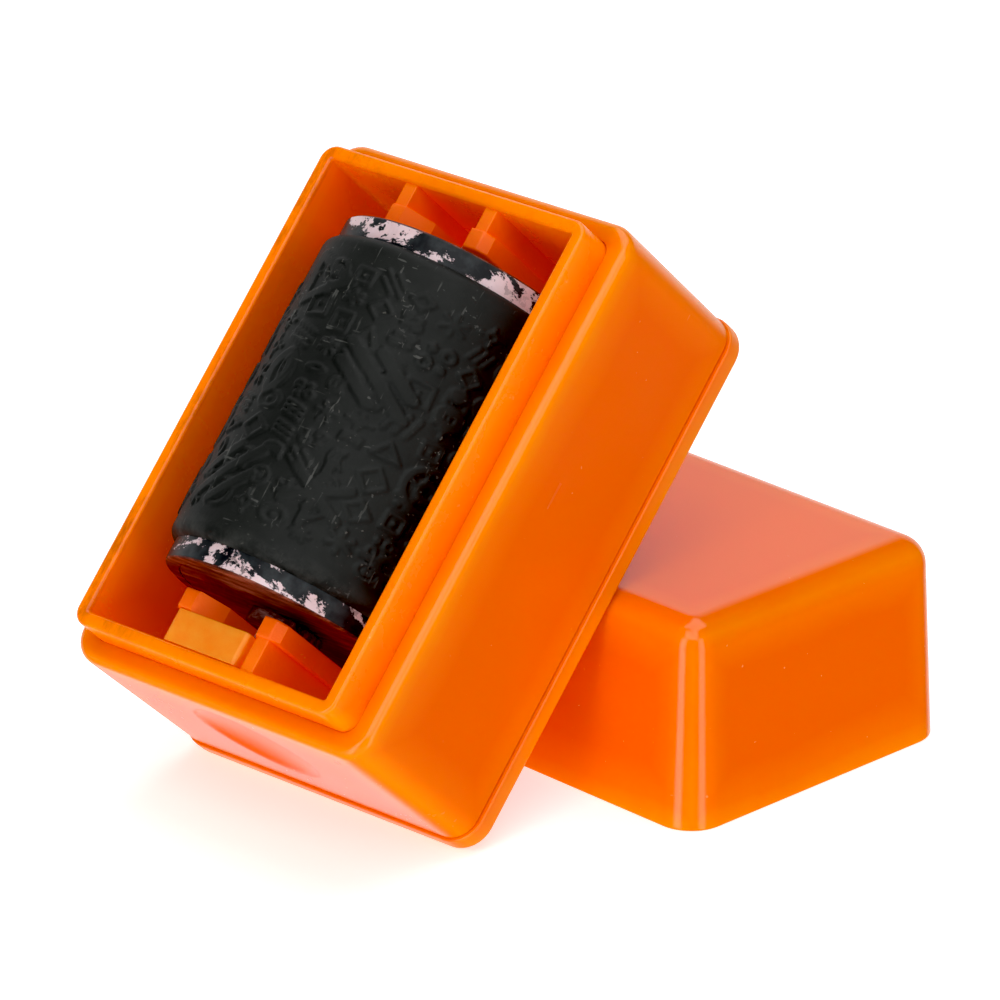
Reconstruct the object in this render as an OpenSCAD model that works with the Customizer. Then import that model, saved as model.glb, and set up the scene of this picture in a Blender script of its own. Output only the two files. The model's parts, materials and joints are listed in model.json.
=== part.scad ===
// Roller privacy stamp that leans on its own loose cap.
//
// The stamp is drawn in its own frame: X across the body, Y along the roller, Z out of the mouth,
// with Z = 0 on the shoulder that the cap closes against. lean() then rests its back edge on the
// ground and its back on the cap. The cap is drawn standing on its open face.

/* [Body] */
// Width of the shell, across the roller
shell_w = 40; // [34:0.5:46]
// Length of the shell, along the roller
shell_l = 60; // [54:0.5:66]
// From the shoulder to the outside of the back cover
shell_depth = 23.8; // [23:0.1:26]
// Radius of the shell's four long corners
shell_r = 3.1; // [1:0.1:4]
// Rounding of the shoulder's outer edge
shoulder_r = 1.1; // [0.3:0.1:1.5]
// Thickness of the shell's walls, which is the width of the shoulder
shell_wall = 2.3; // [1.6:0.1:2.6]
// Thickness of the inner frame's walls
frame_wall = 1.5; // [1:0.1:2]
// How far the frame stands out of the shell, as the collar that the cap fits over
collar_h = 4.4; // [3:0.1:5]

/* [Back cover] */
// Thickness of the back cover
cover_t = 2.4; // [1.8:0.1:2.6]
// How far the cover's edge stands out past the shell
cover_lip = 0.2; // [0:0.05:0.4]

/* [Bearings] */
// Half of the distance between the two bearing cheeks
cheek_half = 20.95; // [20.9:0.01:21.1]
// Offset of the cheeks towards the upper end
cheek_shift = 0.65; // [0.6:0.01:0.7]
// Thickness of a cheek
cheek_t = 2.2; // [1.6:0.1:2.3]
// Width of a cheek
cheek_w = 14; // [13:0.1:16]
// Distance between the centres of the two ribs behind a cheek
rib_pitch = 10.8; // [10.4:0.1:11.4]
// Thickness of a rib
rib_t = 1.6; // [1.2:0.1:1.8]
// Width of the slots' flared mouths, which guide the axle in
flare_w = 9; // [6:0.1:9.2]
// Depth of the flare
flare_h = 3; // [1:0.1:4]

/* [Roller] */
// Radius of the rubber sleeve
sleeve_r = 15.05; // [14.8:0.01:15.2]
// Length of the rubber sleeve
sleeve_l = 34.4; // [32:0.1:36]
// Radius of the drum under the sleeve
drum_r = 13.8; // [13.4:0.1:14]
// Length of the drum
drum_l = 39.2; // [38.8:0.1:39.4]
// Offset of the drum towards the upper end
drum_shift = 1.0; // [0.9:0.05:1.1]
// Height of the roller's axis below the shoulder
axis_drop = 4.74; // [4.6:0.01:4.9]
// Diameter of the axle
axle_d = 4.8; // [4:0.1:5]
// Diameter of the thrust washers
washer_d = 8; // [7:0.1:9]

/* [Cap] */
// Height of the cap
cap_h = 22; // [19:0.5:26]
// Thickness of the cap's walls
cap_wall = 1; // [0.9:0.1:1.4]
// Radius of the cap's standing corners
cap_r = 4; // [3:0.1:5]
// Rounding of the edge round the cap's closed end
cap_edge_r = 3.2; // [1.8:0.1:4]
// How far each side of the cap leans in from the mouth to the closed end
cap_draft = 0.9; // [0.3:0.05:1.2]

/* [Rest position] */
// Angle at which the stamp leans back on the cap
lean_angle = 47.1; // [44:0.1:52]
// Turn of the stamp about the upright, so that it sits a little askew of the cap
askew = 3.8; // [0:0.5:5]
// How far the stamp sits off the cap's middle, along the cap
offset_x = -3.2; // [-4:0.1:4]

/* [Hidden] */
$fn = 64;

play = 0.05;                       // gap between pieces that slide or turn on each other
seat = 0.02;                       // gap between pieces that are pushed together for good
eps = 0.01;

frame_w = shell_w - 2 * shell_wall;
frame_l = shell_l - 2 * shell_wall;
room_w = frame_w - 2 * frame_wall;
room_l = frame_l - 2 * frame_wall;
cover_z = -shell_depth + cover_t;  // inside face of the back cover, and the shell's parting line

axle_r = axle_d / 2;
rib_top = collar_h - 0.4;
cheek_top = collar_h - 0.2;
cheek_up = cheek_shift + cheek_half;      // inner face of the upper cheek
cheek_low = cheek_shift - cheek_half;     // inner face of the lower cheek
drum_up = drum_shift + drum_l / 2;
drum_low = drum_shift - drum_l / 2;
drum_wall = 1.6;
disc_t = 2;
keeper_w = rib_pitch - rib_t - 2 * play;
head_z = rib_top - 1.4;                   // top of the low rib, under the keeper's head
head_right = 3.7;                         // the head's side towards the other rib
axle_end_up = cheek_up + cheek_t + 0.2;
axle_end_low = cheek_low - cheek_t - 2.4;

cap_w = frame_w + 2 * (0.1 + cap_wall);
cap_l = frame_l + 2 * (0.1 + cap_wall);

// The back cover's lower edge stands on the ground, and its face leans on the cap's top edge.
edge_r = 0.8;                             // rounding of the back cover's outer edge
c = cos(lean_angle);
s = sin(lean_angle);
stamp_z = (shell_l / 2 + cover_lip - edge_r) * s + (shell_depth - edge_r) * c + edge_r;
askew_in = (shell_w / 2) * tan(askew);    // how much nearer the askew stamp's one side comes
stamp_y = -cap_w / 2 + cap_draft + cap_edge_r - askew_in
        - (shell_depth + cap_edge_r + 0.1 + c * (cap_h - cap_edge_r - stamp_z)) / s;

// The origin is under the middle of everything, from the collar's lower corner to the cap's back.
collar_y = -(frame_l / 2) * c - collar_h * s;
front_y = stamp_y + collar_y * cos(askew) - (frame_w / 2) * sin(askew);
shift_y = -(front_y + cap_w / 2) / 2;

// ---- Shared shapes ----

module rounded(w, l, r) {
    for (x = [-1, 1], y = [-1, 1]) translate([x * (w / 2 - r), y * (l / 2 - r)]) circle(r);
    square([w - 2 * r, l], center = true);
    square([w, l - 2 * r], center = true);
}

// The side view of a slab from z = 0 up to h, with its lower and upper edges rounded.
module slab_side(w, h, low_r, high_r) {
    for (x = [-1, 1]) {
        translate([x * (w / 2 - low_r), low_r]) circle(low_r);
        translate([x * (w / 2 - high_r), h - high_r]) circle(high_r);
    }
    translate([-w / 2, low_r]) square([w, h - low_r - high_r]);
    translate([-w / 2 + low_r, 0]) square([w - 2 * low_r, h / 2]);
    translate([-w / 2 + high_r, h / 2]) square([w - 2 * high_r, h / 2]);
}

module slab(w, l, h, r, low_r, high_r) {
    intersection() {
        linear_extrude(h) rounded(w, l, r);
        rotate([90, 0, 0]) linear_extrude(2 * l, center = true) slab_side(w, h, low_r, high_r);
        rotate([90, 0, 90]) linear_extrude(2 * w, center = true) slab_side(l, h, low_r, high_r);
    }
}

// A round bar along the roller's axis, from y0 to y1.
module along_axis(r, y0, y1) {
    translate([0, y1, -axis_drop]) rotate([90, 0, 0]) cylinder(h = y1 - y0, r = r);
}

module lean() {
    translate([offset_x, stamp_y + shift_y, stamp_z])
        rotate([0, 0, askew]) rotate([lean_angle, 0, 0]) children();
}

// ---- Body of the stamp ----

// A square tube with a shallow thumb hollow in each short side.
module outer_shell() {
    color("darkorange") difference() {
        translate([0, 0, cover_z + seat])
            slab(shell_w, shell_l, -cover_z - seat, shell_r, 0.6, shoulder_r);
        translate([0, 0, cover_z - 1]) linear_extrude(shell_depth + 2)
            rounded(frame_w + 2 * seat, frame_l + 2 * seat, frame_wall);
        for (y = [-1, 1]) scale([1, y, 1])
            translate([-0.6, -shell_l / 2 - 24, -9.8]) sphere(r = 25, $fn = 96);
    }
}

// The front view of a cheek, with its upper corners cut off.
module cheek_side() {
    w = cheek_w / 2;
    polygon([[-w, cover_z + 1], [w, cover_z + 1], [w, rib_top - 0.8], [w - 0.8, cheek_top],
             [0.8 - w, cheek_top], [-w, rib_top - 0.8]]);
}

// The part of a slot that widens towards the mouth.
module flare_side() {
    polygon([[-axle_r - play, cheek_top - flare_h], [axle_r + play, cheek_top - flare_h],
             [flare_w / 2, cheek_top], [flare_w / 2, cheek_top + 1],
             [-flare_w / 2, cheek_top + 1], [-flare_w / 2, cheek_top]]);
}

// Extrudes a front view along the roller's axis, from y up to y + t.
module cross_slab(y, t) {
    translate([0, y + t, 0]) rotate([90, 0, 0]) linear_extrude(t) children();
}

// One end's bearing: a cheek with a slot for the axle, held off the end wall by two ribs.
// left_top is the height of the rib on the -X side.
module bearing(inner_face, side, left_top) {
    near = side * inner_face;
    rib_y = near + cheek_t - eps;
    scale([1, side, 1]) {
        difference() {
            cross_slab(near, cheek_t) cheek_side();
            cross_slab(near - 1, cheek_t + 2) flare_side();
            translate([-axle_r - play, near - 1, -axis_drop])
                cube([axle_d + 2 * play, cheek_t + 2, 20]);
            translate([0, near + cheek_t + 1, -axis_drop]) rotate([90, 0, 0])
                cylinder(h = cheek_t + 2, r = axle_r + play);
        }
        for (rib = [[-1, left_top], [1, rib_top]])
            translate([rib[0] * rib_pitch / 2 - rib_t / 2, rib_y, cover_z + 1])
                cube([rib_t, room_l / 2 + eps - rib_y, rib[1] - cover_z - 1]);
    }
}

module inner_frame() {
    color("orange") {
        difference() {
            translate([0, 0, cover_z + seat]) linear_extrude(collar_h - cover_z - seat)
                rounded(frame_w, frame_l, frame_wall);
            translate([0, 0, cover_z - 1]) linear_extrude(shell_depth + collar_h + 2)
                rounded(room_w, room_l, 0.3);
        }
        bearing(cheek_up, 1, rib_top);
        bearing(cheek_low, -1, head_z);
    }
}

// A plate whose rim shows past the shell, with a tongue inside each long side of the frame.
module back_cover() {
    w = shell_w + 2 * cover_lip;
    l = shell_l + 2 * cover_lip;
    color("darkorange") {
        translate([0, 0, -shell_depth]) slab(w, l, cover_t, shell_r + cover_lip, edge_r, 0.3);
        for (x = [-1, 1])
            translate([x * (room_w / 2 - seat - 0.6) - 0.6, -22, cover_z - eps])
                cube([1.2, 44, 3]);
    }
}

// The front view of the keeper: a foot between the ribs, and a head that hooks over the low rib.
module keeper_side() {
    corner = 0.8;
    left = -rib_pitch / 2 - rib_t / 2;
    translate([-keeper_w / 2, play - axis_drop]) square([keeper_w, head_z + play + axis_drop]);
    translate([left, head_z + play]) square([head_right - left, cheek_top - corner - head_z - play]);
    translate([left + corner, head_z + play])
        square([head_right - left - corner, cheek_top - head_z - play]);
    translate([left + corner, cheek_top - corner]) circle(corner);
}

// A block pushed down between the lower ribs; its hollow foot holds the axle in its slot.
module axle_keeper() {
    color("sandybrown") difference() {
        cross_slab(-room_l / 2 + play, room_l / 2 + cheek_low - cheek_t - 2 * play) keeper_side();
        along_axis(axle_r + play, -room_l / 2 - 1, cheek_low);
    }
}

// ---- Roller ----

module tube(outer, inner, y0, y1) {
    difference() {
        along_axis(outer, y0, y1);
        along_axis(inner, y0 - 1, y1 + 1);
    }
}

// The printing sleeve, with rounded ends.
module stamp_sleeve() {
    end_r = 1.2;
    color("darkslategray") translate([0, drum_shift, -axis_drop]) rotate([90, 0, 0])
        rotate_extrude($fn = 128) intersection() {
            translate([drum_r + seat, -sleeve_l / 2]) square([sleeve_r - drum_r, sleeve_l]);
            union() {
                for (y = [-1, 1])
                    translate([sleeve_r - end_r, y * (sleeve_l / 2 - end_r)]) circle(end_r);
                translate([0, -sleeve_l / 2]) square([sleeve_r - end_r, sleeve_l]);
                translate([0, -sleeve_l / 2 + end_r]) square([sleeve_r, sleeve_l - 2 * end_r]);
            }
        }
}

// The drum's tube, with rows of holes that feed ink out to the sleeve.
module drum_core() {
    color("mistyrose") difference() {
        tube(drum_r, drum_r - drum_wall, drum_low, drum_up);
        for (y = [-10, 0, 10], a = [0 : 60 : 120])
            translate([0, drum_shift + y, -axis_drop]) rotate([0, a, 0])
                cylinder(h = 2 * drum_r + 2, d = 3, center = true, $fn = 24);
    }
}

module ink_sponge() {
    color("black") tube(drum_r - drum_wall - 0.1, axle_r + seat,
        drum_low + disc_t + 0.1, drum_up - disc_t - 0.1);
}

module end_disc(y0) {
    color("sienna") tube(drum_r - drum_wall - seat, axle_r + seat, y0, y0 + disc_t);
}

module upper_end_disc() end_disc(drum_up - disc_t);
module lower_end_disc() end_disc(drum_low);

module upper_washer() color("mistyrose")
    tube(washer_d / 2, axle_r + seat, drum_up + seat, cheek_up - 2 * play);
module lower_washer() color("mistyrose")
    tube(washer_d / 2, axle_r + seat, cheek_low + 2 * play, drum_low - seat);

module axle() color("mistyrose") along_axis(axle_r, axle_end_low, axle_end_up);

// ---- Cap ----

// A box that narrows by in on each side up to height h, rounded at its standing corners and top.
module tapered(w, l, h, in, r, top_r) {
    hull() for (x = [-1, 1], y = [-1, 1]) {
        translate([x * (w / 2 - r), y * (l / 2 - r), 0]) cylinder(h = eps, r = r, $fn = 32);
        translate([x * (w / 2 - in - r), y * (l / 2 - in - r), h - top_r])
            rotate_extrude($fn = 32) intersection() {
                translate([r - top_r, 0]) circle(top_r, $fn = 32);
                square(r + top_r);
            }
    }
}

module cap() {
    color("darkorange") translate([0, shift_y, 0]) difference() {
        tapered(cap_l, cap_w, cap_h, cap_draft, cap_r, cap_edge_r);
        translate([0, 0, -eps]) tapered(cap_l - 2 * cap_wall, cap_w - 2 * cap_wall,
            cap_h - cap_wall, cap_draft, cap_r - cap_wall, cap_edge_r - cap_wall);
    }
}

lean() outer_shell();
lean() inner_frame();
lean() back_cover();
lean() axle_keeper();
lean() stamp_sleeve();
lean() drum_core();
lean() ink_sponge();
lean() upper_end_disc();
lean() lower_end_disc();
lean() upper_washer();
lean() lower_washer();
lean() axle();
cap();
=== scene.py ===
"""The looks of a roller privacy stamp that leans back on its own loose cap.

Shapes are built in millimetres in the stamp's own frame (X across the body, Y along the roller,
Z out of the mouth, Z = 0 on the shoulder) or in the cap's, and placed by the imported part's joints.
"""

import json
import math

import bmesh
import bpy
import numpy as np
from mathutils import Matrix, Vector


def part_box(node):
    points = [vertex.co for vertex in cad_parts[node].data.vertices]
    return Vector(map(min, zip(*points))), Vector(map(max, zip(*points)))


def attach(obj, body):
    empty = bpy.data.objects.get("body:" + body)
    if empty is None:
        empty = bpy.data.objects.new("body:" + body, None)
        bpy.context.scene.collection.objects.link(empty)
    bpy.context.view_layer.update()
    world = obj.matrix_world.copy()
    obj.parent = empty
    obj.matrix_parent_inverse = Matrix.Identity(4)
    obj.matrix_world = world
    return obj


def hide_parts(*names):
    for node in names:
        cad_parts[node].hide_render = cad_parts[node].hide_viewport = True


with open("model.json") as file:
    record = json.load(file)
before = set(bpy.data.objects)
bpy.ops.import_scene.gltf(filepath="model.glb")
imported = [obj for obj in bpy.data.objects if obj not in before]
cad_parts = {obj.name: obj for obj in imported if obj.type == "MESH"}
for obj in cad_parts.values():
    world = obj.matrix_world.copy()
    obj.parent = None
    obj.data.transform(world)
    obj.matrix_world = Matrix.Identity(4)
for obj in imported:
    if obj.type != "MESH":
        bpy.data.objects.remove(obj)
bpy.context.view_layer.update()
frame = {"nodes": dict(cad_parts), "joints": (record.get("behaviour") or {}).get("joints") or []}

MM = 0.001

# ---- Sizes of the CAD part, in millimetres ----
SHELL_W, SHELL_L, SHELL_R = 40.0, 60.0, 3.1
SHELL_WALL = 2.3
DEPTH = 23.8
COVER_T = 2.4
COVER_LIP = 0.2
COVER_END_LIP = 0.05                    # the looks have less lip at the short sides
TONGUE_L, TONGUE_T, TONGUE_H = 44, 1.2, 3
FRAME_WALL = 1.5
COLLAR_H = 4.4
FRAME_W, FRAME_L = SHELL_W - 2 * SHELL_WALL, SHELL_L - 2 * SHELL_WALL
ROOM_W, ROOM_L = FRAME_W - 2 * FRAME_WALL, FRAME_L - 2 * FRAME_WALL
PARTING = COVER_T - DEPTH               # height of the joint between shell and back cover
SEAT = 0.02                             # gap between pieces of one body
PLAY = 0.05                             # gap between pieces that move on each other

AXIS_DROP = 4.74                        # how far the roller's axis lies below the shoulder
DRUM_SHIFT = 1.0                        # how far the drum's middle lies off the shell's, along the axis
DRUM_R, DRUM_L = 13.8, 39.2
DRUM_WALL = 1.6
DRUM_LOW, DRUM_UP = DRUM_SHIFT - DRUM_L / 2, DRUM_SHIFT + DRUM_L / 2
DISC_T = 2.0
SLEEVE_R, SLEEVE_L = 15.05, 34.4
AXLE_R = 2.4
AXLE_OUT_LOW, AXLE_OUT_UP = 2.4, 0.2    # how far the axle stands out past the lower and the upper cheek
WASHER_R = 4.0
CHEEK_MIDDLE, CHEEK_REACH = 0.65, 20.95
CHEEK_LOW, CHEEK_UP = CHEEK_MIDDLE - CHEEK_REACH, CHEEK_MIDDLE + CHEEK_REACH
CHEEK_T, CHEEK_W = 2.2, 14.0
RIB_PITCH, RIB_T = 10.8, 1.6
RIB_TOP, CHEEK_TOP = COLLAR_H - 0.4, COLLAR_H - 0.2
HEAD_Z, HEAD_RIGHT = RIB_TOP - 1.4, 3.7  # underside and free side of the keeper's head
FLARE_W, FLARE_H = 9.0, 3.0

CAP_WALL = 1.0
CAP_DRAFT = 0.9                         # how far the cap's sides lean in from its mouth to its rounded edge
CAP_R = 4.0
CAP_EDGE_R = 3.2

# ---- Where the stamp and the cap are ----
joints = {j["name"]: j for j in frame["joints"]}
along = Vector(joints["roller_spin"]["axis"]).normalized()
out = Vector(joints["keeper_slide"]["axis"]).normalized()
across = along.cross(out)
origin = Vector(joints["roller_spin"]["pos_m"]) + out * AXIS_DROP * MM - along * DRUM_SHIFT * MM
STAMP = Matrix((across, along, out)).transposed().to_4x4()
STAMP.translation = origin

cap_low, cap_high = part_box("cap")
CAP_L, CAP_W, CAP_H = ((cap_high - cap_low) / MM)
CAP = Matrix.Translation(((cap_low.x + cap_high.x) / 2, (cap_low.y + cap_high.y) / 2, 0))


# ---- Mesh helpers ----

def piece(name, points, faces, place, body, replaced, smooth_angle=35):
    """A new object from points in millimetres in the frame that place gives, riding on a body."""
    mesh = bpy.data.meshes.new(name)
    mesh.from_pydata([tuple(p) for p in np.asarray(points, float) * MM], [], faces)
    return finish_piece(name, mesh, place, body, replaced, smooth_angle)


def finish_piece(name, mesh, place, body, replaced, smooth_angle=35):
    """The object for a mesh in metres: cleaned, smoothed, placed, and riding on a body."""
    bm = bmesh.new()
    bm.from_mesh(mesh)
    bmesh.ops.remove_doubles(bm, verts=bm.verts, dist=1e-7)
    bmesh.ops.recalc_face_normals(bm, faces=bm.faces)
    bm.to_mesh(mesh)
    bm.free()
    mesh.shade_smooth()
    mesh.set_sharp_from_angle(angle=math.radians(smooth_angle))
    mesh.transform(place)
    ob = bpy.data.objects.new(name, mesh)
    bpy.context.scene.collection.objects.link(ob)
    weighted = ob.modifiers.new("even_shading", "WEIGHTED_NORMAL")
    weighted.keep_sharp = True
    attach(ob, body)
    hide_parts(*replaced)
    return ob


def ring(w, l, r, z, corner=8, nx=20, ny=30):
    """Points round a rounded rectangle at height z, the same number whatever its size."""
    r = max(r, 0.02)
    x, y = w / 2 - r, l / 2 - r
    out_points = []
    for cx, cy, a0, n_side in ((x, y, 0, nx), (-x, y, 90, ny), (-x, -y, 180, nx), (x, -y, 270, ny)):
        for k in range(corner + 1):
            a = math.radians(a0 + 90 * k / corner)
            out_points.append((cx + r * math.cos(a), cy + r * math.sin(a), z))
        a = math.radians(a0 + 90)
        start = np.array((cx + r * math.cos(a), cy + r * math.sin(a), z))
        step = {0: (-2 * x, 0, 0), 90: (0, -2 * y, 0), 180: (2 * x, 0, 0), 270: (0, 2 * y, 0)}[a0]
        for k in range(1, n_side):
            out_points.append(tuple(start + np.array(step) * k / n_side))
    return np.array(out_points)


def loft(rings, closed):
    """Quads between neighbouring rings.

    closed joins the last ring to the first; otherwise the ends are filled.
    """
    n = len(rings[0])
    points = np.concatenate(rings)
    faces = []
    for i in range(len(rings) - (0 if closed else 1)):
        a, b = i * n, ((i + 1) % len(rings)) * n
        for k in range(n):
            m = (k + 1) % n
            faces.append((a + k, a + m, b + m, b + k))
    if not closed:
        faces.append(tuple(range(n))[::-1])
        faces.append(tuple(range((len(rings) - 1) * n, len(rings) * n)))
    return points, faces


def arc(cx, cz, r, a0, a1, n):
    """Points of a profile's arc, from angle a0 to a1 in degrees."""
    return [(cx + r * math.cos(math.radians(a)), cz + r * math.sin(math.radians(a)))
            for a in np.linspace(a0, a1, n + 1)]


def spaced(a, b, n):
    """The points that cut the line from a to b into n parts, without its ends."""
    return [tuple(p) for p in np.linspace(a, b, n + 1)[1:-1]]


def lathe(profile, n):
    """Turns a closed profile of (radius, y) about the roller's axis in n steps."""
    rings = []
    for k in range(n):
        a = 2 * math.pi * k / n
        rings.append(np.array([(r * math.sin(a), y, -AXIS_DROP + r * math.cos(a))
                               for r, y in profile]))
    points = np.concatenate(rings)
    m = len(profile)
    faces = [(i * m + k, i * m + (k + 1) % m, ((i + 1) % n) * m + (k + 1) % m, ((i + 1) % n) * m + k)
             for i in range(n) for k in range(m)]
    return points, faces


def round_bar(outer, inner, y0, y1, e):
    """Profile of a tube, or of a solid bar if inner is 0, with its outer edges rounded by e."""
    head = arc(outer - e, y0 + e, e, -90, 0, 4) + arc(outer - e, y1 - e, e, 0, 90, 4)
    return head + [(max(inner, 0.001), y1), (max(inner, 0.001), y0)]


def solid(points, faces, bevel=0.0):
    """A scratch object for booleans, in millimetres, with its sharp edges rounded."""
    mesh = bpy.data.meshes.new("scratch")
    mesh.from_pydata([tuple(p) for p in points], [], faces)
    bm = bmesh.new()
    bm.from_mesh(mesh)
    bmesh.ops.recalc_face_normals(bm, faces=bm.faces)
    if bevel:
        edges = [e for e in bm.edges if e.calc_face_angle(0) > math.radians(50)]
        bmesh.ops.bevel(bm, geom=edges, offset=bevel, segments=3, affect="EDGES", profile=0.5)
    bm.to_mesh(mesh)
    bm.free()
    ob = bpy.data.objects.new("scratch", mesh)
    bpy.context.scene.collection.objects.link(ob)
    return ob


def block(x0, x1, y0, y1, z0, z1, bevel):
    """A scratch box between two corners."""
    points = [(x, y, z) for x in (x0, x1) for y in (y0, y1) for z in (z0, z1)]
    faces = [(0, 1, 3, 2), (4, 6, 7, 5), (0, 4, 5, 1), (2, 3, 7, 6), (0, 2, 6, 4), (1, 5, 7, 3)]
    return solid(points, faces, bevel)


def cross_slab(outline, y0, y1, bevel=0.0):
    """A front view, given as (x, z) corners, extruded along the roller's axis."""
    points = [(x, y, z) for y in (y0, y1) for x, z in outline]
    n = len(outline)
    faces = [(k, (k + 1) % n, n + (k + 1) % n, n + k) for k in range(n)]
    faces += [tuple(range(n))[::-1], tuple(range(n, 2 * n))]
    return solid(points, faces, bevel)


def bar(r, y0, y1):
    """A plain round bar along the roller's axis."""
    n = 64
    points = []
    for y in (y0, y1):
        points += [(r * math.sin(2 * math.pi * k / n), y, -AXIS_DROP + r * math.cos(2 * math.pi * k / n))
                   for k in range(n)]
    faces = [(k, (k + 1) % n, n + (k + 1) % n, n + k) for k in range(n)]
    faces += [tuple(range(n))[::-1], tuple(range(n, 2 * n))]
    return solid(points, faces)


def combine(base, others, operation):
    """base with each of the others joined to it or cut from it."""
    for other in others:
        modifier = base.modifiers.new("combine", "BOOLEAN")
        modifier.operation = operation
        modifier.object = other
        modifier.solver = "EXACT"
    depsgraph = bpy.context.evaluated_depsgraph_get()
    mesh = bpy.data.meshes.new_from_object(base.evaluated_get(depsgraph))
    base.modifiers.clear()
    base.data = mesh
    for other in others:
        bpy.data.objects.remove(other)
    return base


def taken(ob):
    """The scratch object's mesh, in metres, and the object gone."""
    mesh = ob.data
    mesh.transform(Matrix.Scale(MM, 4))
    bpy.data.objects.remove(ob)
    return mesh


# ---- Outer shell ----

THUMB_R, THUMB_DEPTH, THUMB_X, THUMB_Z = 6.9, 1.0, -0.6, -9.8
DRAFT = 0.22                            # how far each side of the shell leans in towards the back


def outer_shell():
    """The square tube: edge, back_edge and lip are the radii of its rounded edges."""
    edge, back_edge, lip = 1.1, 0.3, 0.05
    inner = SHELL_WALL - SEAT
    # The profile's first number is the distance in from the shell's side.
    profile = [(inner, PARTING + SEAT + 0.1)] + spaced((inner, PARTING + SEAT + 0.1), (inner, -lip), 6)
    profile += arc(inner - lip, -lip, lip, 0, 90, 3)
    profile += spaced((inner - lip, 0), (edge, 0), 3)
    profile += arc(edge, -edge, edge, 90, 180, 8)
    low = PARTING + SEAT
    profile += spaced((0, -edge), (DRAFT, low + back_edge), 44)
    profile += arc(DRAFT + back_edge, low + back_edge, back_edge, 180, 270, 6)
    profile += [(inner - 0.1, low)]
    rings = []
    for inset, z in profile:
        r = FRAME_WALL if inset > inner - lip - 0.01 else max(SHELL_R - inset, 1.2)
        rings.append(ring(SHELL_W - 2 * inset, SHELL_L - 2 * inset, r, z, nx=84, ny=16))
    points, faces = loft(rings, closed=True)
    # A shallow thumb hollow in each short side, crisp at its rim and round inside.
    d = np.hypot(points[:, 0] - THUMB_X, points[:, 2] - THUMB_Z) / THUMB_R
    on_end = np.abs(np.abs(points[:, 1]) - SHELL_L / 2) < 0.5
    push = np.where(on_end & (d < 1), THUMB_DEPTH * np.clip(1 - d * d, 0, 1) ** 0.8, 0)
    points[:, 1] -= np.sign(points[:, 1]) * push
    return piece("outer_shell", points, faces, STAMP, "stamp", ["outer_shell"])


# ---- Inner frame ----

def bearing(inner_face, side, left_top):
    """A cheek with a flared slot, held off the end wall by two ribs, as scratch solids."""
    foot, w = PARTING + 1, CHEEK_W / 2
    a, b = sorted((inner_face, inner_face + side * CHEEK_T))
    front = [(-w, foot), (w, foot), (w, RIB_TOP - 0.8), (w - 0.8, CHEEK_TOP), (0.8 - w, CHEEK_TOP),
             (-w, RIB_TOP - 0.8)]
    half = AXLE_R + PLAY
    flare = [(-half, CHEEK_TOP - FLARE_H), (half, CHEEK_TOP - FLARE_H), (FLARE_W / 2, CHEEK_TOP),
             (FLARE_W / 2, CHEEK_TOP + 1), (-FLARE_W / 2, CHEEK_TOP + 1), (-FLARE_W / 2, CHEEK_TOP)]
    slot = block(-half, half, a - 1, b + 1, -AXIS_DROP, COLLAR_H + 5, 0)
    cheek = combine(cross_slab(front, a, b, 0.22),
                    [cross_slab(flare, a - 1, b + 1), slot, bar(half, a - 1, b + 1)], "DIFFERENCE")
    ribs = []
    y0, y1 = sorted((inner_face + side * (CHEEK_T - 0.4), side * (ROOM_L / 2 + 0.5)))
    for x, top in ((-RIB_PITCH / 2, left_top), (RIB_PITCH / 2, RIB_TOP)):
        ribs.append(block(x - RIB_T / 2, x + RIB_T / 2, y0, y1, foot, top, 0.18))
    return [cheek] + ribs


def inner_frame():
    """The frame round the room, with its collar edge rounded by e, and the two bearings in it."""
    e = 0.4
    low = PARTING + SEAT
    t = FRAME_WALL
    profile = [(0, low)] + spaced((0, low), (0, COLLAR_H - e), 8)
    profile += arc(e, COLLAR_H - e, e, 180, 90, 4)
    profile += arc(t - e, COLLAR_H - e, e, 90, 0, 4)
    profile += spaced((t, COLLAR_H - e), (t, low), 8) + [(t, low)]
    rings = []
    for inset, z in profile:
        r = max(1.7 - inset, 0.35)
        rings.append(ring(FRAME_W - 2 * inset, FRAME_L - 2 * inset, r, z, nx=16, ny=24))
    body = solid(*loft(rings, closed=True))
    combine(body, bearing(CHEEK_UP, 1, RIB_TOP) + bearing(CHEEK_LOW, -1, HEAD_Z), "UNION")
    return finish_piece("inner_frame", taken(body), STAMP, "stamp", ["inner_frame"], 30)


# ---- Back cover and axle keeper ----

def back_cover():
    """The plate with its rounded edges, and a tongue inside each long side."""
    outer_e, inner_e, flat = 0.8, 0.22, 12
    w, l, r = SHELL_W + 2 * COVER_LIP, SHELL_L + 2 * COVER_END_LIP, SHELL_R + COVER_LIP
    profile = spaced((flat, -DEPTH), (outer_e, -DEPTH), 3)
    profile += arc(outer_e, -DEPTH + outer_e, outer_e, 270, 180, 6)
    profile += arc(inner_e, PARTING - inner_e, inner_e, 180, 90, 4)
    profile += spaced((inner_e, PARTING), (flat, PARTING), 3)
    rings = [ring(w - 2 * i, l - 2 * i, max(r - i, 0.3), z) for i, z in profile]
    body = solid(*loft(rings, closed=False))
    edge = ROOM_W / 2 - SEAT
    tongues = [block(*sorted((x * edge, x * (edge - TONGUE_T))), -TONGUE_L / 2, TONGUE_L / 2,
                     PARTING - 0.4, PARTING + TONGUE_H, 0.2) for x in (-1, 1)]
    combine(body, tongues, "UNION")
    return finish_piece("back_cover", taken(body), STAMP, "stamp", ["back_cover"])


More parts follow.
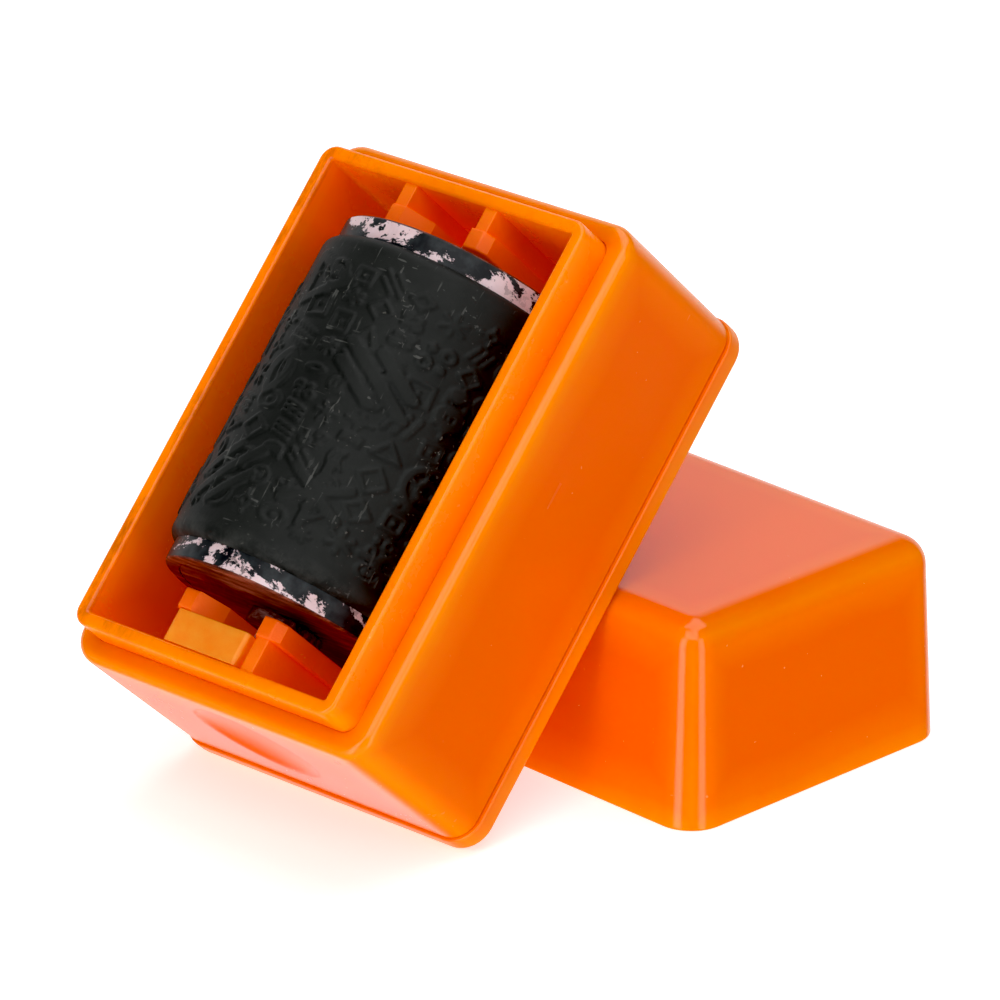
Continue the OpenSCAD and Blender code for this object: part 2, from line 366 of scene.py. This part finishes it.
def axle_keeper():
    """The hooked block that holds the axle down; its foot stands between the lower ribs."""
    half = (RIB_PITCH - RIB_T) / 2 - PLAY
    left, corner = -(RIB_PITCH + RIB_T) / 2, 0.8
    y0, y1 = -ROOM_L / 2 + PLAY, CHEEK_LOW - CHEEK_T - PLAY
    low, under = -AXIS_DROP + PLAY, HEAD_Z + PLAY
    front = [(-half, low), (half, low), (half, under - 0.3), (half - 0.15, under), (HEAD_RIGHT, under + 0.25)]
    front += arc(HEAD_RIGHT - 0.5, CHEEK_TOP - 0.5, 0.5, 0, 90, 4)
    front += arc(left + corner, CHEEK_TOP - corner, corner, 90, 180, 5)
    front += [(left, under), (-half, under)]
    body = cross_slab(front, y0, y1, 0.12)
    combine(body, [bar(AXLE_R + PLAY, y0 - 1, y1 + 1)], "DIFFERENCE")
    return finish_piece("axle_keeper", taken(body), STAMP, "keeper", ["axle_keeper"])


# ---- Rubber sleeve with its raised, meaningless marks ----

MARK_HEIGHT = 0.24
# Each mark is made of strokes in a square from -1 to 1: lines (x0, y0, x1, y1), and arcs
# (cx, cy, r, a0, a1) with their angles in degrees.
MARKS = [
    ([(0, 0, 0.01, 0)], [(0, 0, 0.74, 0, 360)]),
    ([(-0.8, 0, 0, 0.8), (0, 0.8, 0.8, 0), (0.8, 0, 0, -0.8), (0, -0.8, -0.8, 0)], []),
    ([(-0.8, -0.7, -0.4, 0.7), (-0.2, -0.7, 0.2, 0.7), (0.4, -0.7, 0.8, 0.7)], []),
    ([], [(0, 0, 0.8, 0, 360), (0, 0, 0.3, 0, 360)]),
    ([(-0.7, -0.7, 0.7, -0.7), (0.7, -0.7, 0.7, 0.7), (0.7, 0.7, -0.7, 0.7), (-0.7, 0.7, -0.7, -0.7),
      (0, 0, 0.01, 0)], []),
    ([(-0.8, -0.65, 0.8, -0.65), (0.8, -0.65, 0, 0.75), (0, 0.75, -0.8, -0.65)], []),
    ([(-0.8, -0.8, 0.8, 0.8), (-0.8, -0.1, 0.1, 0.8), (-0.1, -0.8, 0.8, 0.1)], []),
    ([], [(0, -0.75, 1.05, 45, 135), (0, 0.75, 1.05, 225, 315)]),
    ([(-0.85, 0, -0.6, 0), (0.6, 0, 0.85, 0), (0, -0.85, 0, -0.6), (0, 0.6, 0, 0.85)],
     [(0, 0, 0.36, 0, 360)]),
    ([(-0.7, 0, 0.7, 0), (-0.35, -0.6, 0.35, 0.6), (-0.35, 0.6, 0.35, -0.6)], []),
    ([], [(-0.45, -0.45, 0.3, 0, 360), (0.45, 0.45, 0.3, 0, 360), (0.45, -0.45, 0.12, 0, 360),
          (-0.45, 0.45, 0.12, 0, 360)]),
    ([], [(-0.5, 0, 0.9, -50, 50), (-0.9, 0, 0.9, -50, 50), (-0.1, 0, 0.9, -50, 50)]),
]


def stroke_distance(x, y, lines, arcs):
    """Distance from each point to the nearest stroke of a mark."""
    best = np.full(x.shape, 9.0)
    for x0, y0, x1, y1 in lines:
        dx, dy = x1 - x0, y1 - y0
        t = np.clip(((x - x0) * dx + (y - y0) * dy) / (dx * dx + dy * dy), 0, 1)
        best = np.minimum(best, np.hypot(x - x0 - t * dx, y - y0 - t * dy))
    for cx, cy, r, a0, a1 in arcs:
        angle = np.degrees(np.arctan2(y - cy, x - cx))
        inside = (angle - a0) % 360 <= (a1 - a0)
        ring_d = np.abs(np.hypot(x - cx, y - cy) - r)
        ends = [np.hypot(x - cx - r * math.cos(math.radians(a)), y - cy - r * math.sin(math.radians(a)))
                for a in (a0, a1)]
        best = np.minimum(best, np.where(inside, ring_d, np.minimum(*ends)))
    return best


# How wide the rows of marks are, one after the other round the sleeve.
SMALL_ROWS = (3.6, 3.1, 4.2, 3.3, 3.9, 4.8, 3.1, 3.6, 3.3, 4.2, 3.2, 4.6, 3.5, 3.8, 3.2, 4.4,
              3.4, 3.9, 3.1, 3.6, 4.0, 3.4, 4.4, 3.2)
LARGE_ROWS = (8.2, 5.4, 9.0, 6.6, 7.8, 5.0, 8.6, 5.8, 7.2)


def relief(n_round, n_along):
    """Heights from 0 to 1 over the sleeve's unrolled face: rows of small marks, and large ones over them."""
    girth = 2 * math.pi * SLEEVE_R
    s = np.arange(n_round) * girth / n_round
    y = np.linspace(-SLEEVE_L / 2, SLEEVE_L / 2, n_along)
    height = np.zeros((n_round, n_along))
    rng = np.random.default_rng(7)
    for widths, level, gap in ((SMALL_ROWS, 0.85, 0.1), (LARGE_ROWS, 1.0, 0.5)):
        rows = np.array(widths) * girth / sum(widths)
        s0 = rng.uniform(0, 3)
        for row in rows:
            y0 = -SLEEVE_L / 2 + 1.3 + rng.uniform(0, 1.0)
            while True:
                size = row * rng.uniform(0.84, 0.97)
                wide = size * rng.uniform(0.62, 1.0)
                if y0 + wide > SLEEVE_L / 2 - 1.0:
                    break
                stamp_mark(height, (s - s0 - row / 2 + girth / 2) % girth - girth / 2, y - y0 - wide / 2,
                           size, wide, level, rng)
                y0 += wide + gap * size
            s0 += row
    return height


def stamp_mark(height, ds, dy, size, wide, level, rng):
    """Raises one mark, given the distances of the grid's rows and columns from its middle."""
    lines, arcs = MARKS[rng.integers(len(MARKS))]
    turn = rng.integers(4) * math.pi / 2 + rng.normal(0, 0.06)
    level *= rng.uniform(0.6, 1.0)
    stroke = max(0.06 * size, 0.22) * rng.uniform(0.85, 1.2)
    half = max(size, wide) / 2 * 1.1
    near_s, near_y = np.abs(ds) < half + 0.4, np.abs(dy) < half + 0.4
    gs, gy = np.meshgrid(ds[near_s], dy[near_y], indexing="ij")
    u, v = gs / (size / 2), gy / (wide / 2)
    u, v = u * math.cos(turn) - v * math.sin(turn), u * math.sin(turn) + v * math.cos(turn)
    d = stroke_distance(u, v, lines, arcs) * min(size, wide) / 2
    area = np.ix_(near_s, near_y)
    height[area] = np.maximum(height[area], np.clip((stroke - d) / 0.14 + 0.5, 0, 1) * level)


def stamp_sleeve():
    """The rubber sleeve: a tube with rounded ends whose outer face carries the relief."""
    n_round, n_flat, end_r, end_n = 540, 158, 1.2, 5
    inner = DRUM_R + SEAT
    base = SLEEVE_R - MARK_HEIGHT
    half = SLEEVE_L / 2
    height = relief(n_round, n_flat)
    flat_y = np.linspace(-half + end_r, half - end_r, n_flat)
    fade = np.clip((half - 0.9 - np.abs(flat_y)) / 0.6, 0, 1)
    low = arc(base - end_r, -half + end_r, end_r, -90, 0, end_n)[:-1]
    high = arc(base - end_r, half - end_r, end_r, 0, 90, end_n)[1:]
    low = [(r, y) for r, y in low if r > inner]
    high = [(r, y) for r, y in high if r > inner]
    flat = [(base, y) for y in flat_y]
    profile = [(inner, -half)] + low + flat + high + [(inner, half)]
    start = 1 + len(low)
    rings = []
    profile_r, profile_y = np.array(profile).T
    for k in range(n_round):
        a = 2 * math.pi * k / n_round
        r = profile_r.copy()
        r[start:start + n_flat] += MARK_HEIGHT * height[k] * fade
        # The rubber is slightly out of round and lies a little uneven on its drum.
        r[1:-1] += 0.03 * math.sin(3 * a + 0.6) - 0.03
        rings.append(np.stack((r * math.sin(a), profile_y + DRUM_SHIFT, -AXIS_DROP + r * math.cos(a)), 1))
    points = np.concatenate(rings)
    m = len(profile)
    faces = [(i * m + k, i * m + (k + 1) % m, ((i + 1) % n_round) * m + (k + 1) % m,
              ((i + 1) % n_round) * m + k) for i in range(n_round) for k in range(m)]
    return piece("stamp_sleeve", points, faces, STAMP, "roller", ["stamp_sleeve"], 60)


# ---- Drum ----

def drum_core():
    """The tube under the sleeve."""
    points, faces = lathe(round_bar(DRUM_R, DRUM_R - DRUM_WALL, DRUM_LOW, DRUM_UP, 0.3), 160)
    return piece("drum_core", points, faces, STAMP, "roller", ["drum_core"])


def end_disc(name, y0, outward):
    """A disc whose outer face is turned a little hollow."""
    r, inner = DRUM_R - DRUM_WALL - SEAT, AXLE_R + SEAT
    outside = [(inner, 0), (4.4, 0), (4.6, 0.08), (r - 0.15, 0.02), (r, 0.12)]
    profile = outside + [(r, DISC_T), (inner, DISC_T)]
    base = y0 if outward < 0 else y0 + DISC_T
    points, faces = lathe([(a, base - outward * b) for a, b in profile], 128)
    return piece(name, points, faces, STAMP, "roller", [name])


def turned(name, profile):
    """A washer or the axle, which replaces the CAD node of its own name."""
    points, faces = lathe(profile, 96)
    return piece(name, points, faces, STAMP, "roller", [name])


# ---- Cap ----

def cap():
    """The open box, from a profile of (distance in from the mouth's outside, height)."""
    h, t = CAP_H, CAP_WALL
    rim, flat = 0.3, 17.6
    inner_e = CAP_EDGE_R - t
    top = h - CAP_EDGE_R
    outside = spaced((0, rim), (CAP_DRAFT, top), 20)
    outside += arc(CAP_DRAFT + CAP_EDGE_R, top, CAP_EDGE_R, 180, 90, 12)
    outside += spaced((CAP_DRAFT + CAP_EDGE_R, h), (flat, h), 5)
    inside = spaced((t + CAP_DRAFT, top), (t, rim), 12)
    inner_arc = arc(t + CAP_DRAFT + inner_e, top, inner_e, 90, 180, 8)
    inner_top = spaced((flat, h - t), (t + CAP_DRAFT + inner_e, h - t), 5)
    mouth = arc(t - rim, rim, rim, 360, 270, 3) + arc(rim, rim, rim, 270, 180, 3)
    rings = []
    for inset, z in inner_top + inner_arc + inside + mouth + outside:
        rings.append(ring(CAP_L - 2 * inset, CAP_W - 2 * inset, max(CAP_R - inset * 0.95, 0.3), z,
                          corner=12, nx=28, ny=20))
    points, faces = loft(rings, closed=False)
    return piece("cap", points, faces, CAP, "cap", ["cap"])


# ---- Materials ----

class Nodes:
    """Builds one node material.

    Colours are linear. Lengths are in metres, in the frame that place gives.
    """

    def __init__(self, name, place=STAMP, **sockets):
        self.material = bpy.data.materials.new(name)
        self.material.use_nodes = True
        self.tree = self.material.node_tree
        self.shader = self.tree.nodes["Principled BSDF"]
        for socket, value in sockets.items():
            self.shader.inputs[socket.replace("_", " ")].default_value = value
        into = self.tree.nodes.new("ShaderNodeMapping")
        into.vector_type = "TEXTURE"
        into.inputs["Location"].default_value = place.translation
        into.inputs["Rotation"].default_value = place.to_euler()
        self.link(self.tree.nodes.new("ShaderNodeTexCoord").outputs["Object"], into.inputs["Vector"])
        self.object_space = into.outputs["Vector"]

    def link(self, a, b):
        self.tree.links.new(a, b)

    def put(self, value, socket):
        """Links an output to the socket, or sets the socket to a constant."""
        if hasattr(value, "links"):
            self.link(value, socket)
        else:
            socket.default_value = value

    def scaled(self, x, y, z, turn=(0, 0, 0)):
        """The coordinates turned and then stretched by x, y and z."""
        node = self.tree.nodes.new("ShaderNodeMapping")
        node.inputs["Scale"].default_value = (x, y, z)
        node.inputs["Rotation"].default_value = turn
        self.link(self.object_space, node.inputs["Vector"])
        return node.outputs["Vector"]

    def noise(self, scale, detail=4.0, roughness=0.5, vector=None, distortion=0.0):
        node = self.tree.nodes.new("ShaderNodeTexNoise")
        node.inputs["Scale"].default_value = scale
        node.inputs["Detail"].default_value = detail
        node.inputs["Roughness"].default_value = roughness
        node.inputs["Distortion"].default_value = distortion
        self.link(vector or self.object_space, node.inputs["Vector"])
        return node.outputs["Fac"]

    def steps(self, value, *stops):
        """A colour ramp. Each stop is (place, grey level or colour)."""
        node = self.tree.nodes.new("ShaderNodeValToRGB")
        ramp = node.color_ramp
        while len(ramp.elements) < len(stops):
            ramp.elements.new(0.5)
        for element, (place, colour) in zip(ramp.elements, stops):
            element.position = place
            element.color = (*colour, 1) if isinstance(colour, tuple) else (colour, colour, colour, 1)
        self.link(value, node.inputs["Fac"])
        return node.outputs["Color"]

    def maths(self, operation, a, b=0.0):
        node = self.tree.nodes.new("ShaderNodeMath")
        node.operation = operation
        self.put(a, node.inputs[0])
        self.put(b, node.inputs[1])
        return node.outputs["Value"]

    def mix(self, factor, a, b):
        node = self.tree.nodes.new("ShaderNodeMix")
        node.data_type = "RGBA"
        self.put(factor, node.inputs["Factor"])
        for value, socket in ((a, node.inputs[6]), (b, node.inputs[7])):
            self.put((*value, 1) if isinstance(value, tuple) else value, socket)
        return node.outputs[2]

    def place(self, axis):
        """One coordinate, in metres."""
        node = self.tree.nodes.new("ShaderNodeSeparateXYZ")
        self.link(self.object_space, node.inputs["Vector"])
        return node.outputs[axis]

    def bump(self, height, distance, strength=1.0, under=None):
        node = self.tree.nodes.new("ShaderNodeBump")
        node.inputs["Distance"].default_value = distance
        node.inputs["Strength"].default_value = strength
        self.link(height, node.inputs["Height"])
        if under:
            self.link(under, node.inputs["Normal"])
        return node.outputs["Normal"]

    def colour(self, value):
        self.link(value, self.shader.inputs["Base Color"])

    def roughness(self, value):
        self.link(value, self.shader.inputs["Roughness"])

    def normal(self, value):
        self.link(value, self.shader.inputs["Normal"])


EDGE_GLOW_ORANGE = (0.98, 0.250, 0.0008)         # painted glow near the edges, standing in for light that leaks out through the plastic
ORANGE_DEEP = (0.86, 0.125, 0.0004)


def orange(name, half, z_range, gloss=0.22, worn=False, painted_glow=0.0, place=STAMP, grain=1.0):
    """Moulded orange plastic: its colour is painted lighter near its edges as a painted glow, and it has
    faint flow marks and fine scratches.

    half is half of the box across X and Y and z_range its heights, in metres, to find the edges by.
    The glow given is the strength of an orange emission, a painted glow in place of the light that comes
    through the thin walls into the room inside.
    grain scales the small dents.
    """
    # The orange emission is a painted glow, off unless a glow is given.
    n = Nodes(name, place, IOR=1.5, Subsurface_Weight=0.3, Subsurface_Scale=0.0015,
              Emission_Color=(1.0, 0.10, 0.0, 1), Emission_Strength=painted_glow)
    n.shader.inputs["Subsurface Radius"].default_value = (1.0, 0.30, 0.04)
    # Of a point's distances to the box's sides along X, Y and Z, the second smallest is to the nearest edge.
    dx = n.maths("SUBTRACT", half[0], n.maths("ABSOLUTE", n.place("X")))
    dy = n.maths("SUBTRACT", half[1], n.maths("ABSOLUTE", n.place("Y")))
    middle = (z_range[0] + z_range[1]) / 2
    dz = n.maths("SUBTRACT", (z_range[1] - z_range[0]) / 2,
                 n.maths("ABSOLUTE", n.maths("SUBTRACT", n.place("Z"), middle)))
    low, high = n.maths("MINIMUM", dx, dy), n.maths("MAXIMUM", dx, dy)
    edge = n.maths("MAXIMUM", low, n.maths("MINIMUM", high, dz))
    flow = n.noise(48, 3, 0.55, distortion=0.6)
    edge = n.maths("ADD", n.maths("MULTIPLY", edge, 130), n.maths("MULTIPLY", flow, 0.35))
    # Painted glow: the colour runs from a light orange at the edges to a deeper orange in the middle of each
    # face, standing in for light that leaks out at the edges.
    tone = n.steps(edge, (0.21, EDGE_GLOW_ORANGE), (0.48, (0.92, 0.172, 0.0006)), (0.96, ORANGE_DEEP))
    # Tiny bright nicks where something knocked the plastic.
    nicks = n.maths("MULTIPLY", n.steps(n.noise(1500, 2, 0.4), (0.755, 0.0), (0.78, 1.0)),
                    n.steps(n.noise(120, 2), (0.42, 0.0), (0.6, 0.6)))
    tone = n.mix(nicks, tone, (1.0, 0.52, 0.20))
    scratch = n.noise(1500, 1, 0.3, n.scaled(1, 0.02, 1, (0.3, 0.5, 0.7)))
    lines = n.maths("MULTIPLY", n.steps(scratch, (0.70, 0.0), (0.74, 1.0)),
                    n.steps(n.noise(70, 2), (0.45, 0.0), (0.6, 1.0)))
    smudge = n.noise(120, 5, 0.6)
    if worn:
        # Dried ink and rubbed dirt along the rim, most of it on the side that the user wipes.
        rim = n.steps(n.maths("MULTIPLY", n.place("Z"), 100), (0.36, 0.0), (0.43, 1.0))
        side = n.maths("ADD", n.maths("MULTIPLY", n.place("X"), -30), 0.2)
        side = n.steps(side, (0.35, 0.12), (0.75, 1.0))
        dirt = n.steps(n.noise(380, 7, 0.75, n.scaled(1, 0.3, 1)), (0.47, 0.0), (0.66, 0.65))
        dirt = n.maths("MULTIPLY", n.maths("MULTIPLY", dirt, rim), side)
        tone = n.mix(dirt, tone, (0.16, 0.035, 0.008))
    n.colour(tone)
    rough = n.maths("ADD", n.maths("MULTIPLY", smudge, 0.10), gloss - 0.04)
    n.roughness(n.maths("ADD", rough, n.maths("MULTIPLY", lines, 0.05)))
    ripple = n.bump(n.noise(90, 2, 0.5), 0.00002, 0.6 * grain)
    fine = n.bump(n.noise(2600, 2, 0.5), 0.000004, 0.6 * grain, ripple)
    fine = n.bump(lines, 0.000003, 0.5 * grain, fine)
    if worn:
        # The cheeks and ribs are blasted, not polished.
        x, y = n.maths("ABSOLUTE", n.place("X")), n.maths("ABSOLUTE", n.place("Y"))
        inside = n.maths("MULTIPLY", n.maths("LESS_THAN", x, (CHEEK_W / 2 + 0.3) * MM),
                         n.maths("LESS_THAN", y, (ROOM_L / 2 - 0.05) * MM))
        n.roughness(n.maths("ADD", n.maths("MULTIPLY", inside, 0.28), rough))
        grit = n.maths("MULTIPLY", n.noise(2300, 3, 0.6), inside)
        fine = n.bump(grit, 0.00008, 0.7, fine)
    n.normal(fine)
    return n.material


def cut_orange(name):
    """The keeper's paler, sanded-looking plastic."""
    n = Nodes(name, IOR=1.48, Subsurface_Weight=0.35, Subsurface_Scale=0.0015)
    n.shader.inputs["Subsurface Radius"].default_value = (1.0, 0.35, 0.1)
    tone = n.steps(n.noise(500, 5, 0.6), (0.35, (0.97, 0.24, 0.010)), (0.7, (1.0, 0.32, 0.026)))
    n.colour(tone)
    n.roughness(n.maths("ADD", n.maths("MULTIPLY", n.noise(900, 3), 0.2), 0.38))
    coarse = n.bump(n.noise(1500, 4, 0.6), 0.00005, 0.6)
    n.normal(n.bump(n.noise(5200, 2, 0.6), 0.00002, 0.6, coarse))
    return n.material


def rubber():
    """Charcoal rubber with dust in its low places and fine pale scuffs."""
    n = Nodes("sleeve_rubber", IOR=1.5, Specular_IOR_Level=0.32)
    tone = n.steps(n.noise(160, 5, 0.6), (0.3, (0.0085, 0.0095, 0.0085)), (0.75, (0.015, 0.0165, 0.015)))
    scuff = n.noise(2300, 1, 0.3, n.scaled(1.3, 0.10, 1, (0.2, 0.3, 0.7)))
    cross = n.noise(2300, 1, 0.3, n.scaled(0.12, 1.2, 1, (0.5, 0.1, -0.5)))
    marks = n.maths("MAXIMUM", n.steps(scuff, (0.685, 0.0), (0.72, 1.0)),
                    n.steps(cross, (0.70, 0.0), (0.73, 1.0)))
    scuffs = n.maths("MULTIPLY", marks, n.steps(n.noise(260, 3, 0.6), (0.46, 0.0), (0.6, 1.0)))
    dust = n.steps(n.noise(2100, 2, 0.5), (0.69, 0.0), (0.72, 1.0))
    dust = n.maths("MULTIPLY", dust, n.steps(n.noise(130, 3, 0.5), (0.50, 0.0), (0.70, 0.5)))
    # Paler, dusty rubber where the lower end rubs.
    rubbed = n.steps(n.maths("MULTIPLY", n.place("Y"), -50), (0.70, 0.0), (0.82, 0.35))
    rubbed = n.maths("MULTIPLY", rubbed, n.steps(n.noise(330, 5, 0.7), (0.42, 0.0), (0.66, 1.0)))
    tone = n.mix(n.maths("MULTIPLY", scuffs, 0.2), tone, (0.26, 0.26, 0.24))
    tone = n.mix(rubbed, tone, (0.12, 0.12, 0.11))
    n.colour(n.mix(dust, tone, (0.24, 0.23, 0.20)))
    n.roughness(n.maths("ADD", n.maths("MULTIPLY", n.noise(300, 4), 0.2), 0.5))
    skin = n.bump(n.noise(1800, 5, 0.65), 0.00003, 0.6)
    n.normal(n.bump(n.noise(210, 3, 0.6), 0.00012, 0.5, skin))
    return n.material


# Colour stops of the dried ink on the discs, and of the paler washers.
STAIN = ((0.38, (0.036, 0.009, 0.007)), (0.5, (0.105, 0.022, 0.013)), (0.62, (0.26, 0.070, 0.040)))


def stain(n, stops):
    """Dried ink with rubbed streaks: its colour and its streaks."""
    streak = n.noise(900, 6, 0.7, n.scaled(0.2, 1, 1.3, (0, 0.35, 0)))
    return n.steps(streak, *stops), streak


def inked_plastic(name, ink, ends=False):
    """Pale pinkish plastic with dried black ink in sharp-edged patches and specks.

    More ink is a larger share of patches. ends stains the drum's end faces as well.
    """
    n = Nodes(name, IOR=1.46, Subsurface_Weight=0.12, Subsurface_Scale=0.001)
    pale = n.steps(n.noise(260, 4, 0.6), (0.3, (0.66, 0.46, 0.47)), (0.7, (0.78, 0.63, 0.66)))
    patch = n.noise(125, 8, 0.68, n.scaled(1.0, 1.5, 1.0), 0.3)
    patches = n.steps(patch, (ink, 1.0), (ink + 0.012, 0.0))
    speck = n.noise(1100, 4, 0.6)
    specks = n.steps(speck, (0.41, 1.0), (0.425, 0.0))
    specks = n.maths("MULTIPLY", specks, n.steps(n.noise(90, 3), (0.45, 0.2), (0.6, 1.0)))
    rub = n.steps(n.noise(700, 3, 0.5, n.scaled(1, 0.25, 1)), (0.60, 0.0), (0.70, 0.55))
    mask = n.maths("MAXIMUM", patches, specks)
    inked = n.steps(n.noise(800, 3, 0.5), (0.4, (0.007, 0.008, 0.010)), (0.75, (0.03, 0.035, 0.038)))
    shade = n.mix(n.maths("MULTIPLY", rub, 0.25), pale, (0.25, 0.16, 0.16))
    surface = n.mix(mask, shade, inked)
    n.shader.inputs["Specular IOR Level"].default_value = 0.35
    n.roughness(n.maths("ADD", n.maths("MULTIPLY", mask, -0.08), 0.5))
    n.normal(n.bump(mask, 0.00003, 0.6))
    if ends:
        away = n.maths("ABSOLUTE", n.maths("SUBTRACT", n.place("Y"), DRUM_SHIFT * MM))
        face = n.maths("GREATER_THAN", away, (DRUM_L / 2 - 0.2) * MM)
        surface = n.mix(face, surface, stain(n, STAIN)[0])
    n.colour(surface)
    return n.material


def stained_disc(name, stops):
    """Plastic stained by dried ink, and rubbed by the cheek."""
    n = Nodes(name, IOR=1.46)
    tone, streak = stain(n, stops)
    n.colour(tone)
    n.roughness(n.maths("ADD", n.maths("MULTIPLY", streak, 0.25), 0.35))
    n.shader.inputs["Specular IOR Level"].default_value = 0.35
    n.normal(n.bump(n.noise(900, 4, 0.6, n.scaled(0.12, 1, 1.6, (0, 0.35, 0))), 0.00008, 0.9))
    return n.material


def sponge():
    """Foam black with ink."""
    n = Nodes("sponge_foam")
    n.colour(n.steps(n.noise(900, 4), (0.35, (0.004, 0.004, 0.005)), (0.7, (0.02, 0.02, 0.024))))
    n.roughness(n.steps(n.noise(700, 2), (0.3, 0.75), (0.7, 0.95)))
    n.normal(n.bump(n.noise(1600, 5, 0.7), 0.0002, 0.8))
    return n.material


PALE_STAIN = ((0.36, (0.05, 0.014, 0.012)), (0.5, (0.16, 0.055, 0.045)), (0.64, (0.42, 0.24, 0.22)))


def dress(ob, material):
    """Gives an object its one material."""
    ob.data.materials.clear()
    ob.data.materials.append(material)
    return ob


shell_half = (SHELL_W / 2 * MM, SHELL_L / 2 * MM)
frame_half = (FRAME_W / 2 * MM, FRAME_L / 2 * MM)
cap_half = (CAP_L / 2 * MM, CAP_W / 2 * MM)
dress(outer_shell(), orange("shell_orange", shell_half, (-DEPTH * MM, 0)))
# The frame emits a faint orange painted glow.
dress(inner_frame(), orange("frame_orange", frame_half, (-DEPTH * MM, COLLAR_H * MM), 0.26,
                            worn=True, painted_glow=0.12))
dress(back_cover(), orange("cover_orange", shell_half, (-DEPTH * MM, 0), 0.36, grain=0.3))
dress(axle_keeper(), cut_orange("keeper_orange"))
dress(cap(), orange("cap_orange", cap_half, (0, CAP_H * MM), 0.15, place=CAP))
dress(stamp_sleeve(), rubber())
dress(drum_core(), inked_plastic("drum_plastic", 0.53, ends=True))
brown = stained_disc("disc_plastic", STAIN)
dress(end_disc("upper_end_disc", DRUM_UP - DISC_T, 1), brown)
dress(end_disc("lower_end_disc", DRUM_LOW, -1), brown)
white = inked_plastic("axle_plastic", 0.36)
dull = stained_disc("washer_plastic", PALE_STAIN)
dress(turned("axle",
             round_bar(AXLE_R, 0, CHEEK_LOW - CHEEK_T - AXLE_OUT_LOW, CHEEK_UP + CHEEK_T + AXLE_OUT_UP, 0.4)),
      white)
dress(turned("lower_washer",
             round_bar(WASHER_R, AXLE_R + SEAT, CHEEK_LOW + 2 * PLAY, DRUM_LOW - SEAT, 0.25)), dull)
dress(turned("upper_washer",
             round_bar(WASHER_R, AXLE_R + SEAT, DRUM_UP + SEAT, CHEEK_UP - 2 * PLAY, 0.2)), dull)
dress(frame["nodes"]["ink_sponge"], sponge())


# ---- Camera, floor and light ----

AIM = Vector((0.0077, -0.0052, 0.0321))      # middle of the object, in metres
CAMERA_AT = (0.48188, -0.46503, 0.30450)
CAMERA_TURN = (67.5898, -0.1235, 45.9307)    # degrees
CAMERA_LENS, CAMERA_SENSOR = 258.483, 36     # millimetres
FLOOR_HALF, FLOOR_GLOW = 4, 0.55
SWEEP_TOWARD = (142, -8)                     # azimuth and elevation of the white side of the room
ROOM_DIM, ROOM_WHITE = 0.04, 0.95
BLACK_LEVEL = 0.013


def toward(azimuth, elevation):
    """A unit vector from the object towards a place given by its angles in degrees."""
    a, e = math.radians(azimuth), math.radians(elevation)
    return Vector((math.cos(a) * math.cos(e), math.sin(a) * math.cos(e), math.sin(e)))


camera = bpy.data.objects.new("camera", bpy.data.cameras.new("camera"))
camera.data.lens = CAMERA_LENS
camera.data.sensor_width = CAMERA_SENSOR
camera.data.clip_end = 20
camera.location = CAMERA_AT
camera.rotation_euler = [math.radians(a) for a in CAMERA_TURN]
bpy.context.scene.collection.objects.link(camera)
bpy.context.scene.camera = camera


def softbox(name, azimuth, elevation, distance, width, height, radiance):
    """An area light that faces the object, placed by angles in degrees; the rest is in metres."""
    light = bpy.data.lights.new(name, "AREA")
    light.shape = "RECTANGLE"
    light.size, light.size_y = width, height
    light.energy = radiance * math.pi * width * height
    ob = bpy.data.objects.new(name, light)
    bpy.context.scene.collection.objects.link(ob)
    ob.location = AIM + toward(azimuth, elevation) * distance
    ob.rotation_euler = (AIM - ob.location).to_track_quat("-Z", "Y").to_euler()


# Two tall strips, one on each side of the camera, that reach below the table top.
softbox("left_strip", -82, 4, 0.9, 0.34, 1.1, 2.7)
softbox("right_strip", -11, 4, 0.9, 0.30, 1.1, 2.2)
softbox("front", -50, 52, 0.9, 0.75, 0.5, 2.1)
softbox("overhead", 100, 80, 0.8, 0.8, 0.8, 2.0)

floor_mesh = bpy.data.meshes.new("floor")
floor_mesh.from_pydata([(x * FLOOR_HALF, y * FLOOR_HALF, 0) for x, y in ((-1, -1), (1, -1), (1, 1), (-1, 1))],
                       [], [(0, 1, 2, 3)])
floor = bpy.data.objects.new("floor", floor_mesh)
bpy.context.scene.collection.objects.link(floor)
paper = Nodes("floor_paper", Roughness=0.9, Emission_Color=(1, 1, 1, 1),
              Emission_Strength=FLOOR_GLOW)
paper.colour(paper.steps(paper.noise(4, 2), (0.3, 0.90), (0.7, 0.92)))
floor_mesh.materials.append(paper.material)
# The object stands on a small table: its gloss shows the room beyond and below, not the table top.
floor.visible_glossy = False
floor.visible_shadow = False

# A dim room with a white sweep behind the object.
world = bpy.data.worlds.new("studio")
world.use_nodes = True
tree = world.node_tree
direction = tree.nodes.new("ShaderNodeTexCoord").outputs["Generated"]
facing = tree.nodes.new("ShaderNodeVectorMath")
facing.operation = "DOT_PRODUCT"
facing.inputs[1].default_value = toward(*SWEEP_TOWARD)
sweep = tree.nodes.new("ShaderNodeMapRange")
sweep.interpolation_type = "SMOOTHSTEP"
for socket, value in (("From Min", 0.45), ("From Max", 0.75), ("To Min", ROOM_DIM), ("To Max", ROOM_WHITE)):
    sweep.inputs[socket].default_value = value
tree.links.new(direction, facing.inputs[0])
tree.links.new(facing.outputs["Value"], sweep.inputs["Value"])
tree.links.new(sweep.outputs["Result"], tree.nodes["Background"].inputs["Strength"])
tree.nodes["Background"].inputs["Color"].default_value = (1, 1, 1, 1)
bpy.context.scene.world = world
view = bpy.context.scene.view_settings
view.view_transform = "Standard"
# Deep blacks: levels below this are black.
view.use_curve_mapping = True
view.curve_mapping.black_level = (BLACK_LEVEL,) * 3
view.curve_mapping.update()
